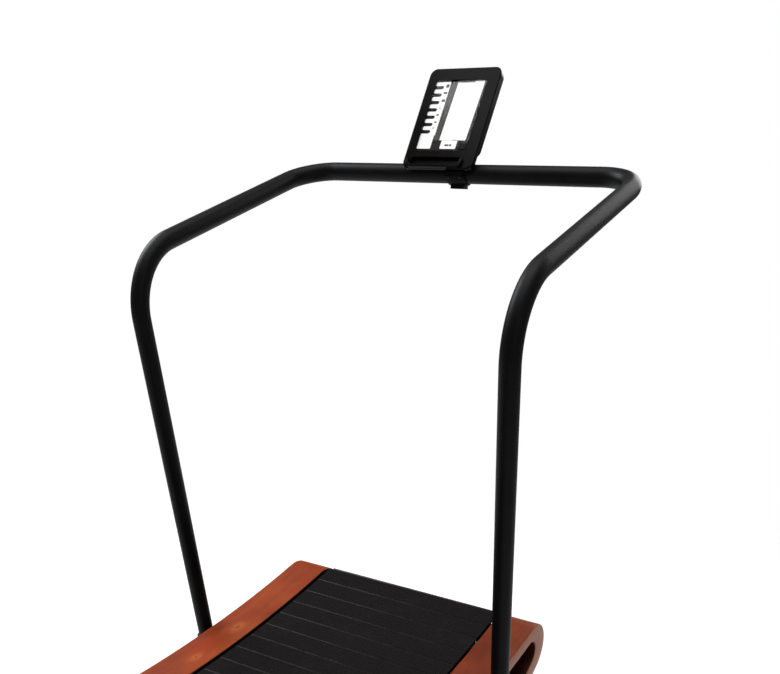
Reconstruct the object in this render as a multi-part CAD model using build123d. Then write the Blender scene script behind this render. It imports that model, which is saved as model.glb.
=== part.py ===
from build123d import *
import math
import os

# Curved manual treadmill: a slatted belt hangs in a concave track between two
# solid wood side loops, with one bent handrail tube and a small console.
# Millimetres. +X is the runner's right, +Y is the way the runner faces, +Z up.
# It is modelled about the middle plane x = 0, then shifted so that the origin
# is the centre of the bounding box's underside, on the floor.

SIDES = (("left", -1), ("right", 1))
SIGNS = (-1, 1)
FIT = 0.05              # radial or face clearance between fitted pieces
CUT = 5.0               # how far a cutter runs past the material

# ---- belt and deck ------------------------------------------------------
PITCH = 58.0            # slat pitch along the belt
N_TOP, N_DRUM, N_BOTTOM = 26, 3, 27     # slats on the top, each drum, the bottom
CENTRE_Z = 3553.0       # height of the deck arc's centre
WOOD_R = 3308.0         # top of the wood loops
PITCH_R = 3323.0        # inner face of the slats on the top arc
TREAD_T, BAR_T = 5.0, 7.0
SLAT_W, SLAT_L = 56.0, 500.0            # along and across the belt
RIB_L, RIB_W, RIB_DEPTH, RIB_LAP = 340.0, 6.0, 12.0, 1.0
BELT_IN, BELT_OUT, BELT_T = 179.0, 211.0, 4.0
BELT_PIECE_L = 44.0

# ---- side loops and plates, distances from the middle plane -------------
WOOD_IN, WOOD_OUT = 257.5, 358.0
PLATE_IN, PLATE_OUT = 252.0, 257.0
PLATE_INSET = 14.0      # plate edge inside the wood's top and nose
BASE_Z = 25.0           # underside of the wood loops
TOE = math.radians(35)  # slope of the loop's lower ends
HEEL_R = 250.0          # rounding between the toe slope and the base
OPEN_TOP_R, OPEN_R, OPEN_Y = 3342.0, 34.0, 741.0    # opening in the wood
OPEN_BASE_Z, OPEN_HEEL_R = 61.0, 200.0
FOOT_X, FOOT_Y = 308.0, 480.0
SOCKET_R = 5.1

# Each belt arc holds a whole number of pitches, so the belt repeats itself
# after one pitch of travel.
ALPHA = N_TOP * PITCH / (2 * PITCH_R)   # half angle of the top arc


def solve_bottom():
    """Bisect for the bottom arc's half angle; also gives drum and bottom radii."""
    low, high = 0.05, 0.9
    for _ in range(200):
        beta = 0.5 * (low + high)
        drum_r = N_DRUM * PITCH / (math.pi + ALPHA - beta)
        bottom_r = N_BOTTOM * PITCH / (2 * beta)
        if (bottom_r - drum_r) * math.sin(beta) > (PITCH_R + drum_r) * math.sin(ALPHA):
            low = beta
        else:
            high = beta
    return beta, drum_r, bottom_r


BETA, DRUM_R, BOTTOM_R = solve_bottom()
DRUM_Y = (PITCH_R + DRUM_R) * math.sin(ALPHA)
DRUM_Z = CENTRE_Z - (PITCH_R + DRUM_R) * math.cos(ALPHA)
BOTTOM_Z = DRUM_Z + (BOTTOM_R - DRUM_R) * math.cos(BETA)    # bottom arc's centre
NOSE_R = PITCH_R + DRUM_R - WOOD_R
OPEN_Z = CENTRE_Z - math.sqrt((OPEN_TOP_R + OPEN_R) ** 2 - OPEN_Y**2)

# ---- helpers ------------------------------------------------------------
parts = {}


def add(name, *shapes):
    for shape in shapes:
        parts.setdefault(name, []).extend(shape.solids())


def box(x0, x1, y0, y1, z0, z1):
    centre = Pos((x0 + x1) / 2, (y0 + y1) / 2, (z0 + z1) / 2)
    return centre * Box(abs(x1 - x0), abs(y1 - y0), abs(z1 - z0))


def beam_x(x0, x1, y, z, half_y, half_z):
    return box(x0, x1, y - half_y, y + half_y, z - half_z, z + half_z)


def cyl_x(radius, x0, x1, y, z):
    return Pos((x0 + x1) / 2, y, z) * Rot(0, 90, 0) * Cylinder(radius, abs(x1 - x0))


def ring_x(outer_r, inner_r, x0, x1, y, z):
    return cyl_x(outer_r, x0, x1, y, z) - cyl_x(inner_r, x0, x1, y, z)


def cyl_z(radius, z0, z1, x, y):
    return Pos(x, y, (z0 + z1) / 2) * Cylinder(radius, z1 - z0)


def hex_x(radius, x0, x1, y, z):
    prism = extrude(RegularPolygon(radius, 6), amount=abs(x1 - x0))
    return Pos(min(x0, x1), y, z) * Rot(0, 90, 0) * prism


def side_bolt(side, head_r, seat_x, shank_r, tip_x, y, z, head_t=6.0):
    """Hex head outside seat_x, shank running inwards to tip_x."""
    bolt = hex_x(head_r, side * seat_x, side * (seat_x + head_t), y, z)
    return bolt + cyl_x(shank_r, side * tip_x, side * seat_x, y, z)


# ---- wood loops and side plates -----------------------------------------
def loop_prism(x0, x1, nose_y, nose_z, top_r, nose_r, base_z, heel_r):
    """Side outline from x0 to x1: top arc, round noses, sloping toes, flat base."""
    lean = math.asin(nose_y / (top_r + nose_r))
    mid = (lean + TOE) / 2
    top = (top_r * math.sin(lean), CENTRE_Z - top_r * math.cos(lean))
    nose = (nose_y + nose_r * math.cos(mid), nose_z + nose_r * math.sin(mid))
    toe = (nose_y + nose_r * math.sin(TOE), nose_z - nose_r * math.cos(TOE))
    corner_y = toe[0] - (toe[1] - base_z) / math.tan(TOE)
    tangent = heel_r * math.tan(TOE / 2)
    heel0 = (corner_y + tangent * math.cos(TOE), base_z + tangent * math.sin(TOE))
    heel1 = (corner_y - tangent, base_z)
    heel_mid = (heel1[0] + heel_r * math.sin(TOE / 2),
                base_z + heel_r - heel_r * math.cos(TOE / 2))

    def front(point):
        return Vector(x0, point[0], point[1])

    def rear(point):
        return Vector(x0, -point[0], point[1])

    arc, line = Edge.make_three_point_arc, Edge.make_line
    outline = Face(Wire([
        arc(rear(top), Vector(x0, 0, CENTRE_Z - top_r), front(top)),
        arc(front(top), front(nose), front(toe)),
        line(front(toe), front(heel0)),
        arc(front(heel0), front(heel_mid), front(heel1)),
        line(front(heel1), rear(heel1)),
        arc(rear(heel1), rear(heel_mid), rear(heel0)),
        line(rear(heel0), rear(toe)),
        arc(rear(toe), rear(nose), rear(top)),
    ]))
    way = (1 if x1 > x0 else -1, 0, 0)
    return Solid(extrude(outline, amount=abs(x1 - x0), dir=way).solids()[0].wrapped)


def wood_loop(side):
    outer = loop_prism(side * WOOD_IN, side * WOOD_OUT, DRUM_Y, DRUM_Z,
                       WOOD_R, NOSE_R, BASE_Z, HEEL_R)
    opening = loop_prism(side * (WOOD_IN - CUT), side * (WOOD_OUT + CUT), OPEN_Y, OPEN_Z,
                         OPEN_TOP_R, OPEN_R, OPEN_BASE_Z, OPEN_HEEL_R)
    loop = outer - opening
    # Guards the easing of the outer face: if the fillet fails, edges stay sharp.
    try:
        edges = [e for e in loop.edges() if abs(e.center().X - side * WOOD_OUT) < 0.01]
        loop = fillet(edges, 3.5)
    except Exception:
        pass
    # sockets for the levelling feet
    for y in (-FOOT_Y, FOOT_Y):
        loop -= cyl_z(SOCKET_R, BASE_Z - 1, BASE_Z + 28, side * FOOT_X, y)
    return loop


def side_plate(side, shaft_hole_r=18.0):
    plate = loop_prism(side * PLATE_IN, side * PLATE_OUT, DRUM_Y, DRUM_Z,
                       WOOD_R + PLATE_INSET, NOSE_R - PLATE_INSET, BASE_Z + 2, HEEL_R)
    for y in (-DRUM_Y, DRUM_Y):
        plate -= cyl_x(shaft_hole_r, side * (PLATE_IN - CUT), side * (PLATE_OUT + CUT),
                       y, DRUM_Z)
    return plate


for side_name, side in SIDES:
    add(side_name + "_wood_loop", wood_loop(side))
    add(side_name + "_side_plate", side_plate(side))

# ---- cross members ------------------------------------------------------
MEMBER_WALL = 3.0
CROSS_YS, CROSS_HALF = (-400.0, 0.0, 400.0), 20.0
RAIL_YS, RAIL_Z, RAIL_HALF_W, RAIL_HALF_H = (-300.0, 300.0), 43.0, 30.0, 15.0
FRAME_SHANK_R = 1.4     # fits inside the tube walls


def hollow_beam(y, z, half_y, half_z):
    reach = PLATE_IN + CUT
    beam = beam_x(-PLATE_IN, PLATE_IN, y, z, half_y, half_z)
    return beam - beam_x(-reach, reach, y, z, half_y - MEMBER_WALL, half_z - MEMBER_WALL)


def cross_tube(y):
    """Square tube 2 mm below midway between the rib tips of both belt runs."""
    top_z = CENTRE_Z - math.sqrt((PITCH_R + RIB_DEPTH) ** 2 - y**2)
    bottom_z = BOTTOM_Z - math.sqrt((BOTTOM_R - RIB_DEPTH) ** 2 - y**2)
    z = (top_z + bottom_z) / 2 - 2
    add("cross_tubes", hollow_beam(y, z, CROSS_HALF, CROSS_HALF))
    wall_mid = CROSS_HALF - MEMBER_WALL / 2
    for side in SIGNS:
        for end in SIGNS:
            add("frame_bolts", side_bolt(side, 7.5, PLATE_OUT, FRAME_SHANK_R, PLATE_IN - 16,
                                         y + end * wall_mid, z + end * 12))


def base_rail(y):
    add("base_rails", hollow_beam(y, RAIL_Z, RAIL_HALF_W, RAIL_HALF_H))
    wall_mid = RAIL_HALF_W - MEMBER_WALL / 2
    for side in SIGNS:
        for end in SIGNS:
            add("frame_bolts", side_bolt(side, 9.0, WOOD_OUT, FRAME_SHANK_R, PLATE_IN - 20,
                                         y + end * wall_mid, RAIL_Z))


for y in CROSS_YS:
    cross_tube(y)
for y in RAIL_YS:
    base_rail(y)

# ---- drums --------------------------------------------------------------
SHAFT_R = 12.5
PULLEY_IN, PULLEY_OUT = BELT_IN - 1, BELT_OUT + 1
PULLEY_RECESS = 11.0    # depth of the recess in each pulley face
PULLEY_R = DRUM_R - BELT_T - 0.12
PULLEY_RIM_R = DRUM_R - BELT_T - 8      # inside of the rim
HOUSING_IN, FLANGE_IN = 232.0, 246.0
BEARING_IN, BEARING_OUT = 233.0, 245.9


def around(count, radius, start, y):
    """Points spaced evenly round the drum axis at y, first one at start degrees."""
    for i in range(count):
        angle = math.radians(360 / count * i + start)
        yield y + radius * math.cos(angle), DRUM_Z + radius * math.sin(angle)


def pulley(side, y):
    inner, outer = side * PULLEY_IN, side * PULLEY_OUT
    wheel = cyl_x(PULLEY_R, inner, outer, y, DRUM_Z)
    for face, way in ((PULLEY_IN, 1), (PULLEY_OUT, -1)):
        wheel -= cyl_x(PULLEY_RIM_R, side * (face - way), side * (face + way * PULLEY_RECESS),
                       y, DRUM_Z)
    wheel += cyl_x(21, inner, outer, y, DRUM_Z)
    wheel -= cyl_x(SHAFT_R, inner - side * CUT, outer + side * CUT, y, DRUM_Z)
    for hole_y, hole_z in around(6, 32.5, 30, y):
        wheel -= cyl_x(6, inner, outer, hole_y, hole_z)
    return wheel


def bearing_housing(side, y):
    start, plate = side * (HOUSING_IN - CUT), side * PLATE_IN
    housing = cyl_x(26, side * HOUSING_IN, plate, y, DRUM_Z)
    housing += cyl_x(38, side * FLANGE_IN, plate, y, DRUM_Z)
    housing -= cyl_x(20, start, side * FLANGE_IN, y, DRUM_Z)
    housing -= cyl_x(15, start, side * (PLATE_IN + CUT), y, DRUM_Z)
    return housing


def bearing(side, y):
    """Ring with a shallow annular groove in its inner face."""
    race = cyl_x(19.98, side * BEARING_IN, side * BEARING_OUT, y, DRUM_Z)
    race -= cyl_x(SHAFT_R + FIT, side * (BEARING_IN - CUT), side * (BEARING_OUT + CUT),
                  y, DRUM_Z)
    return race - ring_x(17, 15, side * (BEARING_IN - 3), side * (BEARING_IN + 1), y, DRUM_Z)


for end_name, y in (("front", DRUM_Y), ("rear", -DRUM_Y)):
    add(end_name + "_shaft", cyl_x(SHAFT_R, 3 - PLATE_IN, PLATE_IN - 3, y, DRUM_Z))
    for side in SIGNS:
        add(end_name + "_pulleys", pulley(side, y))
        add("bearing_housings", bearing_housing(side, y))
        add("shaft_bearings", bearing(side, y))
        for bolt_y, bolt_z in around(4, 32, 45, y):
            bolt = hex_x(4.5, side * (FLANGE_IN - 4), side * FLANGE_IN, bolt_y, bolt_z)
            bolt += cyl_x(2.5, side * (FLANGE_IN - 2), side * (PLATE_OUT - 1), bolt_y, bolt_z)
            add("housing_bolts", bolt)

# ---- track rollers ------------------------------------------------------
ROLLER_R, AXLE_R, AXLE_COLLAR_R = 16.0, 6.0, 9.0
ROLLER_IN, ROLLER_OUT = 226.0, 240.0
AXLE_IN = 223.5
ROLLER_GAP = 0.4        # between adjacent faces
N_ROLLERS, ROLLER_SPAN = 8, 20.4        # pairs, and degrees of deck arc they cover


def track_roller(side, y, z):
    roller = cyl_x(ROLLER_R, side * ROLLER_IN, side * ROLLER_OUT, y, z)
    roller = chamfer(roller.edges().filter_by(GeomType.CIRCLE), 1.0)
    return roller - cyl_x(AXLE_R + FIT, side * (ROLLER_IN - CUT), side * (ROLLER_OUT + CUT),
                          y, z)


def roller_axle(side, y, z):
    start, plate = side * AXLE_IN, side * PLATE_IN
    axle = cyl_x(AXLE_R, start, plate, y, z)
    axle += cyl_x(AXLE_COLLAR_R, start, side * (ROLLER_IN - ROLLER_GAP), y, z)
    axle += cyl_x(AXLE_COLLAR_R, side * (ROLLER_OUT + ROLLER_GAP), plate, y, z)
    return axle


roller_path_r = PITCH_R + ROLLER_R + ROLLER_GAP
for i in range(N_ROLLERS):
    angle = math.radians(ROLLER_SPAN * (i / (N_ROLLERS - 1) - 0.5))
    y = roller_path_r * math.sin(angle)
    z = CENTRE_Z - roller_path_r * math.cos(angle)
    for side in SIGNS:
        add("track_roller_pair_%d" % (i + 1), track_roller(side, y, z))
        add("roller_axles", roller_axle(side, y, z))

# ---- slat belt ----------------------------------------------------------
# group, slats, arc centre y and z, radius; the radius is negative where the
# arc's centre lies outside the belt. Sections run from the deck's front end.
BELT_SECTIONS = (
    ("top", N_TOP, 0, CENTRE_Z, -PITCH_R),
    ("rear", N_DRUM, -DRUM_Y, DRUM_Z, DRUM_R),
    ("bottom", N_BOTTOM, 0, BOTTOM_Z, BOTTOM_R),
    ("front", N_DRUM, DRUM_Y, DRUM_Z, DRUM_R),
)


def add_slat(group, frame):
    """Tread, ribbed bar and two belt pieces; local +Z points out of the belt."""
    tread = Pos(0, 0, BAR_T + TREAD_T / 2) * Box(SLAT_L, SLAT_W, TREAD_T)
    tread = chamfer(tread.edges().filter_by(Axis.X).group_by(Axis.Z)[-1], 1.2)
    bar = Pos(0, 0, BAR_T / 2) * Box(SLAT_L - 4, SLAT_W - 4, BAR_T)
    bar += Pos(0, 0, (RIB_LAP - RIB_DEPTH) / 2) * Box(RIB_L, RIB_W, RIB_DEPTH + RIB_LAP)
    add("slat_treads_" + group, frame * tread)
    add("slat_bars_" + group, frame * bar)
    piece = Box(BELT_OUT - BELT_IN, BELT_PIECE_L, BELT_T)
    for side in SIGNS:
        place = Pos(side * (BELT_IN + BELT_OUT) / 2, 0, -BELT_T / 2)
        add("drive_belts_" + group, frame * place * piece)


angle = math.pi / 2 + ALPHA     # direction of the outward normal, from +Y
for group, count, centre_y, centre_z, radius in BELT_SECTIONS:
    for _ in range(count):
        out_y, out_z = math.cos(angle), math.sin(angle)
        origin = (0, centre_y + radius * out_y, centre_z + radius * out_z)
        frame = Plane(origin=origin, x_dir=(1, 0, 0), z_dir=(0, out_y, out_z))
        add_slat(group, frame.location)
        angle += PITCH / radius

# ---- handrail -----------------------------------------------------------
TUBE_R, TUBE_WALL = 19.0, 2.0
POST_X, POST_FOOT_Z = 412.0, 32.0
POST_LEAN = math.radians(9.28)
CORNER_Y, CORNER_Z = 303.0, 1105.0      # corner between post and arm
BAR_Y, BAR_Z = 909.0, 1284.0            # crossbar axis
POST_BEND_R, BAR_BEND_R = 135.0, 88.0
BRACKET_T, BRACKET_Z = 6.0, 43.0
STANDOFF_Z, STANDOFF_FLANGE_T = 200.0, 6.0


def post_point(z, side=1):
    """Point on the post axis; the post leans back towards its top."""
    return Vector(side * POST_X, CORNER_Y + (CORNER_Z - z) * math.tan(POST_LEAN), z)


def rail_path():
    corners = [  # point, bend radius
        (Vector(-POST_X, CORNER_Y, CORNER_Z), POST_BEND_R),
        (Vector(-POST_X, BAR_Y, BAR_Z), BAR_BEND_R),
        (Vector(POST_X, BAR_Y, BAR_Z), BAR_BEND_R),
        (Vector(POST_X, CORNER_Y, CORNER_Z), POST_BEND_R),
    ]
    first, final = post_point(POST_FOOT_Z, -1), post_point(POST_FOOT_Z)
    points = [first] + [corner for corner, _ in corners] + [final]
    edges, last = [], first
    for i, (corner, radius) in enumerate(corners):
        back = (points[i] - corner).normalized()
        ahead = (points[i + 2] - corner).normalized()
        half = math.acos(back.dot(ahead)) / 2
        tangent = radius / math.tan(half)
        bend_start, bend_end = corner + back * tangent, corner + ahead * tangent
        bisector = (back + ahead).normalized()
        centre = corner + bisector * (radius / math.sin(half))
        edges.append(Edge.make_line(last, bend_start))
        edges.append(Edge.make_three_point_arc(bend_start, centre - bisector * radius, bend_end))
        last = bend_end
    edges.append(Edge.make_line(last, final))
    return Wire(edges)


def handrail():
    path = rail_path()
    start = Plane(origin=path @ 0, z_dir=path % 0)
    outside, bore = [sweep(Face(Wire(Edge.make_circle(radius, start))), path=path)
                     for radius in (TUBE_R, TUBE_R - TUBE_WALL)]
    return outside - bore


def post_cyl(radius, z0, z1, side):
    """Cylinder on the post axis."""
    low, high = post_point(z0, side), post_point(z1, side)
    frame = Plane(origin=(low + high) / 2, z_dir=(high - low).normalized())
    return frame.location * Cylinder(radius, (high - low).length)


def post_bracket(side, y):
    """Plate on the wood, web, and collar round the post's foot."""
    bracket = beam_x(side * (WOOD_OUT + FIT), side * (WOOD_OUT + BRACKET_T),
                     y, BRACKET_Z, 60, 16)
    bracket += box(side * (WOOD_OUT + 3), side * (POST_X - 10), y - 12, y + 12, 30, 57)
    bracket += post_cyl(25, 30, 100, side)
    return bracket - post_cyl(TUBE_R + FIT, 20, 120, side)


def post_standoff(side):
    """Spacer from the side plate to a collar round the post."""
    y, z, seat = post_point(STANDOFF_Z).Y, STANDOFF_Z, side * (PLATE_OUT + FIT)
    standoff = cyl_x(11, seat, side * (POST_X - 12), y, z)
    standoff += post_cyl(24, z - 18, z + 18, side)
    standoff -= post_cyl(TUBE_R + FIT, z - 50, z + 50, side)
    return standoff + cyl_x(24, seat, side * (PLATE_OUT + STANDOFF_FLANGE_T), y, z)


add("handrail_tube", handrail())
bracket_y = post_point(BRACKET_Z).Y
for side in SIGNS:
    add("post_brackets", post_bracket(side, bracket_y))
    add("post_standoffs", post_standoff(side))
    for offset in (-45.0, 45.0):
        add("bracket_bolts", side_bolt(side, 8.0, WOOD_OUT + BRACKET_T, 4.0, WOOD_OUT - 45,
                                       bracket_y + offset, BRACKET_Z))

# ---- console ------------------------------------------------------------
# Local frame: x across, v up the face, z out of the face towards the runner.
CON_X, CON_Y, CON_Z = -43.0, 879.0, 1305.0
CON_TILT = math.radians(31.5)
CON_W, CON_T, CON_CORNER_R = 175.0, 22.0, 17.0
CON_TOP, BACK_LOW, SHELL_LOW = 220.0, 22.0, -14.0   # v of the ends of cover and shell
SPLIT = -CON_T / 2      # joint between front shell and back cover
WALL = 3.0
BACK_V, BACK_H = (BACK_LOW + CON_TOP) / 2, CON_TOP - BACK_LOW
SHELL_V, SHELL_H = (SHELL_LOW + CON_TOP) / 2, CON_TOP - SHELL_LOW
WIN_X, WIN_W, WIN_V, WIN_H = -2.5, 125.0, 109.75, 164.5
KEY_X, KEY_V = 51.0, 35.5               # key in the window's lower right corner
KEY_W, KEY_H, KEY_CORNER_R, KEY_GAP = 14.0, 12.0, 2.5, 0.2
LIP_X, LIP_V = -8.0, 8.5
HINGE_Y, HINGE_Z = 930.0, 1322.0
PIN_R, PIN_HEAD_R = 3.0, 4.5
PIN_BORE_R = PIN_R + 0.04
KNUCKLE_R, KNUCKLE_HALF = 6.0, 12.8
LUG_IN, LUG_OUT = 13.2, 20.0

console = Plane(origin=(CON_X, CON_Y, CON_Z), x_dir=(1, 0, 0),
                z_dir=(0, -math.cos(CON_TILT), math.sin(CON_TILT))).location


def rounded(width, height, radius, x, v, z0, z1):
    return Pos(x, v, z0) * extrude(RectangleRounded(width, height, radius), amount=z1 - z0)


def key_corner(width, height, z, depth):
    """Block that clears the window's lower right corner for the key."""
    return Pos(KEY_X + 9, KEY_V - 2, z) * Box(width, height, depth)


def window_shape(gap, z0, z1):
    window = rounded(WIN_W - 2 * gap, WIN_H - 2 * gap, 4, WIN_X, WIN_V, z0, z1)
    return window - key_corner(38 + 2 * gap, 21 + 2 * gap, (z0 + z1) / 2, 2 * (z1 - z0))


def front_shell():
    """Frame with a window, a tray recess, a raised lip and a key hole."""
    shell = rounded(CON_W, SHELL_H, CON_CORNER_R, 0, SHELL_V, SPLIT, 0)
    shell = fillet(shell.edges().group_by(Axis.Z)[-1], 2.5)
    shell -= rounded(CON_W - 2 * WALL, 194, 12, 0, 120, SPLIT - 1, -WALL)
    shell -= window_shape(0, -4, 1)
    shell -= rounded(122, 19, 5, -7.5, 3, -7, 1)
    lip = rounded(140, 44, 13, LIP_X, LIP_V, -4, 6) - rounded(127, 31, 8, LIP_X, LIP_V, -5, 7)
    lip -= Pos(LIP_X, 26, 1) * Box(150, 40, 20)
    lip = fillet(lip.edges().group_by(Axis.Z)[-1], 1.5)
    shell += lip
    # lower back edge eased so that it clears the clamp when the console tilts
    shell -= Pos(0, SHELL_LOW, SPLIT) * (Rot(45, 0, 0) * Box(CON_W + 10, 7.07, 7.07))
    shell -= rounded(KEY_W + 2 * KEY_GAP, KEY_H + 2 * KEY_GAP, KEY_CORNER_R + KEY_GAP,
                     KEY_X, KEY_V, -4, 1)
    return shell


def back_cover():
    """Tray with four screw bosses and the hinge knuckle, already in place."""
    cover = rounded(CON_W, BACK_H, CON_CORNER_R, 0, BACK_V, -CON_T, SPLIT)
    cover = fillet(cover.edges().group_by(Axis.Z)[0], 4.0)
    cover -= rounded(CON_W - 2 * WALL, BACK_H - 2 * WALL, CON_CORNER_R - WALL, 0, BACK_V,
                     -CON_T + WALL, SPLIT + 0.1)
    for x in (-72, 72):
        for v in (BACK_LOW + 13, CON_TOP - 13):
            cover += Pos(x, v, -15.6) * Cylinder(4, 8)
    cover = console * cover
    knuckle = box(-KNUCKLE_HALF, KNUCKLE_HALF, HINGE_Y - 20, HINGE_Y,
                  HINGE_Z - KNUCKLE_R, HINGE_Z + KNUCKLE_R)
    knuckle += cyl_x(KNUCKLE_R, -KNUCKLE_HALF, KNUCKLE_HALF, HINGE_Y, HINGE_Z)
    knuckle -= console * (Pos(0, BACK_V, -10) * Box(CON_W, BACK_H, 20))
    knuckle -= cyl_x(PIN_BORE_R, -20, 20, HINGE_Y, HINGE_Z)
    return cover + knuckle


def lcd_panel():
    panel = rounded(WIN_W + 6, WIN_H + 5, 2, WIN_X, WIN_V, -8.5, -3.6)
    return panel - key_corner(40, 23, -6, 10)


def console_key():
    key = rounded(KEY_W, KEY_H, KEY_CORNER_R, KEY_X, KEY_V, -6, 1.2)
    return fillet(key.edges().group_by(Axis.Z)[-1], 0.8)


add("console_front_shell", console * front_shell())
add("console_back_cover", back_cover())
add("lcd_panel", console * lcd_panel())
add("lcd_window", console * window_shape(0.1, -3.4, -0.8))
add("control_board", console * rounded(140, 150, 2, 0, WIN_V + 8, -13.0, -11.4))
add("console_button", console * console_key())

# ---- console clamp, round the middle of the crossbar --------------------
CLAMP_R, CLAMP_HALF = 22.5, 22.0
CLAMP_REACH = 34.0      # flange edge from the crossbar axis
CLAMP_GAP = 0.5         # each half stops this far from the axis plane
CLAMP_CAP_T = 6.0       # underside of the cap's flanges below the axis


def clamp_half(way):
    """Half sleeve, above the axis plane for way 1 and below it for way -1."""
    sleeve = cyl_x(CLAMP_R, -CLAMP_HALF, CLAMP_HALF, BAR_Y, BAR_Z)
    return sleeve - box(-30, 30, BAR_Y - 40, BAR_Y + 40,
                        BAR_Z - way * 40, BAR_Z + way * CLAMP_GAP)


def clamp_bore():
    return cyl_x(TUBE_R + FIT, -200, 200, BAR_Y, BAR_Z)


def clamp_saddle():
    saddle = clamp_half(1)
    for way, top in ((1, 6), (-1, 3)):
        saddle += box(-CLAMP_HALF, CLAMP_HALF, BAR_Y + way * 10, BAR_Y + way * CLAMP_REACH,
                      BAR_Z + CLAMP_GAP, BAR_Z + top)
    for side in SIGNS:
        saddle += box(side * LUG_IN, side * LUG_OUT, HINGE_Y - 6, HINGE_Y + 7,
                      BAR_Z + 5, HINGE_Z + 7)
    saddle -= clamp_bore()
    return saddle - cyl_x(PIN_BORE_R, -30, 30, HINGE_Y, HINGE_Z)


def clamp_cap():
    cap = clamp_half(-1)
    cap += box(-CLAMP_HALF, CLAMP_HALF, BAR_Y - CLAMP_REACH, BAR_Y + CLAMP_REACH,
               BAR_Z - CLAMP_CAP_T, BAR_Z - CLAMP_GAP)
    cap += box(-16, 16, BAR_Y - 11, BAR_Y + 11, BAR_Z - 29, BAR_Z - 18)
    return cap - clamp_bore()


def hinge_pin():
    pin = cyl_x(PIN_R, -20.5, 20.5, HINGE_Y, HINGE_Z)
    for side in SIGNS:
        pin += cyl_x(PIN_HEAD_R, side * (LUG_OUT + FIT), side * 22.5, HINGE_Y, HINGE_Z)
    return pin


add("console_clamp_saddle", clamp_saddle())
add("console_clamp_cap", clamp_cap())
add("console_hinge_pin", hinge_pin())
for way, tip in ((-1, 2.5), (1, 4.5)):
    for x in (-14.0, 14.0):
        y, seat = BAR_Y + way * 28.5, BAR_Z - CLAMP_CAP_T
        screw = cyl_z(2.0, seat, BAR_Z + tip, x, y)
        add("clamp_screws", screw + cyl_z(4.0, seat - 3, seat, x, y))


# ---- feet, transport wheels and speed sensor ----------------------------
def levelling_foot(x, y):
    foot = cyl_z(25, 0, 8, x, y)
    foot = chamfer(foot.edges().group_by(Axis.Z)[-1], 2.0)
    foot += cyl_z(9, 7.5, 14, x, y)
    foot += cyl_z(5.0, 7, BASE_Z + 24, x, y)
    return foot


def locknut(x, y):
    nut = Pos(x, y, BASE_Z - 7.1) * extrude(RegularPolygon(9.5, 6), amount=7)
    return nut - cyl_z(SOCKET_R, 10, 30, x, y)


feet = [(side * FOOT_X, y) for side in SIGNS for y in (-FOOT_Y, FOOT_Y)]
for number, (x, y) in enumerate(feet, 1):
    add("levelling_foot_%d" % number, levelling_foot(x, y))
    add("foot_locknuts", locknut(x, y))

WHEEL_Y, WHEEL_Z, WHEEL_R = 600.0, 38.0, 30.0
WHEEL_IN, WHEEL_OUT, CHEEK_IN = 222.0, 242.0, 244.0
WHEEL_AXLE_R, WHEEL_AXLE_IN = 6.0, 218.0


def transport_wheel(side):
    """Wheel with an annular recess in its inner face."""
    wheel = cyl_x(WHEEL_R, side * WHEEL_IN, side * WHEEL_OUT, WHEEL_Y, WHEEL_Z)
    wheel = chamfer(wheel.edges().filter_by(GeomType.CIRCLE), 2.5)
    wheel -= ring_x(22, 11, side * (WHEEL_IN - 1), side * (WHEEL_IN + 3), WHEEL_Y, WHEEL_Z)
    return wheel - cyl_x(WHEEL_AXLE_R + FIT, side * (WHEEL_IN - CUT),
                         side * (WHEEL_OUT + CUT), WHEEL_Y, WHEEL_Z)


def wheel_bracket(side):
    """Cheek on the side plate with the wheel's axle."""
    cheek, plate, tip = side * CHEEK_IN, side * PLATE_IN, side * WHEEL_AXLE_IN
    bracket = box(cheek, plate, WHEEL_Y - 22, WHEEL_Y + 22, WHEEL_Z + 10, 118)
    bracket += cyl_x(22, cheek, plate, WHEEL_Y, WHEEL_Z)
    bracket += cyl_x(WHEEL_AXLE_R, tip, side * (CHEEK_IN + 2), WHEEL_Y, WHEEL_Z)
    return bracket + cyl_x(9.0, tip, side * (WHEEL_AXLE_IN + 3), WHEEL_Y, WHEEL_Z)


for side_name, side in SIDES:
    add("transport_wheel_" + side_name, transport_wheel(side))
    add("wheel_brackets", wheel_bracket(side))

# on the right plate, behind and below the front pulley's axis
sensor_y, sensor_z = DRUM_Y - 83, DRUM_Z - 22
add("speed_sensor", beam_x(214, PLATE_IN, sensor_y, sensor_z, 9, 8)
    + beam_x(244, PLATE_IN, sensor_y, sensor_z, 17, 12))

# ---- move to the origin and export --------------------------------------
bounds = [solid.bounding_box() for solids in parts.values() for solid in solids]
shift = Pos(
    -(min(b.min.X for b in bounds) + max(b.max.X for b in bounds)) / 2,
    -(min(b.min.Y for b in bounds) + max(b.max.Y for b in bounds)) / 2,
    -min(b.min.Z for b in bounds),
)
os.makedirs("parts", exist_ok=True)
for name, solids in parts.items():
    moved = [shift * solid for solid in solids]
    shape = moved[0] if len(moved) == 1 else Compound(children=moved)
    export_step(shape, "parts/" + name + ".step")
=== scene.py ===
import bpy, bmesh, math, json
import numpy as np
from mathutils import Vector, Matrix


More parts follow.
